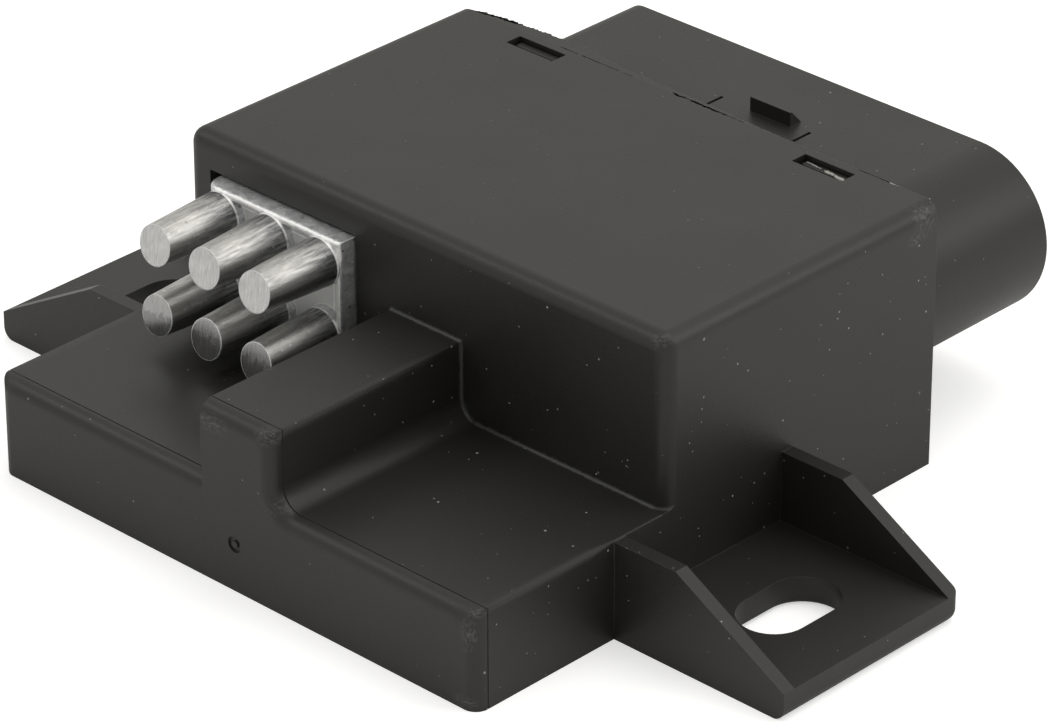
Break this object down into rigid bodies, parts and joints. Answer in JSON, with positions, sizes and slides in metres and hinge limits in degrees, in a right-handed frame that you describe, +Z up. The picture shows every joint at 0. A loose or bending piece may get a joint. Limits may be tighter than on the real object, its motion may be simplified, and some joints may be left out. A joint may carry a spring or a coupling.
{
  "type": "fuel pump relay",
  "caption": "Solid-state fuel pump relay: flat black moulded housing with fixing ears, pinned aluminium heat sink and a shrouded socket at the rear.",
  "frame": {"origin": "on the flat underside, midway between the two fixing slots", "axes": "+X along the row of fixing ears, +Y towards the socket's mouth, +Z up from the underside"},
  "size_m": [0.0992, 0.078, 0.027],
  "materials": {
    "black_plastic": "moulded, fine grain, satin",
    "cast_aluminium": "die cast, bright, cut marks on the pin ends",
    "seal_rubber": "moulded silicone rubber",
    "pad_rubber": "soft filled pad",
    "board_laminate": "solder mask over glass laminate",
    "spring_steel": "bare strip",
    "ferrite": "sintered",
    "enamelled_wire": "enamelled copper",
    "chip_resin": "moulded resin",
    "ceramic": "sintered ceramic",
    "resistor_film": "glazed",
    "can_metal": "drawn can",
    "tinned_copper": "tin plated"
  },
  "bodies": {
    "root": {"capacitor_1": "can_metal", "capacitor_2": "can_metal", "ceramic_capacitors": "ceramic", "chip_resistors": "resistor_film", "choke_core": "ferrite", "choke_winding": "enamelled_wire", "circuit_board": "board_laminate", "connector_housing": "black_plastic", "crystal": "can_metal", "gate_driver": "chip_resin", "heatsink": "cast_aluminium", "heatsink_seal": "seal_rubber", "housing": "black_plastic", "microcontroller": "chip_resin", "perimeter_seal": "seal_rubber", "power_terminal_1": "tinned_copper", "power_terminal_2": "tinned_copper", "power_terminal_3": "tinned_copper", "power_terminal_4": "tinned_copper", "power_transistor_1": "chip_resin", "power_transistor_2": "chip_resin", "shunt_resistor": "spring_steel", "signal_terminal_1": "tinned_copper", "signal_terminal_2": "tinned_copper", "signal_terminal_3": "tinned_copper", "signal_terminal_4": "tinned_copper", "signal_terminal_5": "tinned_copper", "signal_terminal_6": "tinned_copper", "suppressor_diode": "chip_resin", "thermal_pad": "pad_rubber", "transistor_clip": "spring_steel", "voltage_regulator": "chip_resin"}
  },
  "joints": []
}
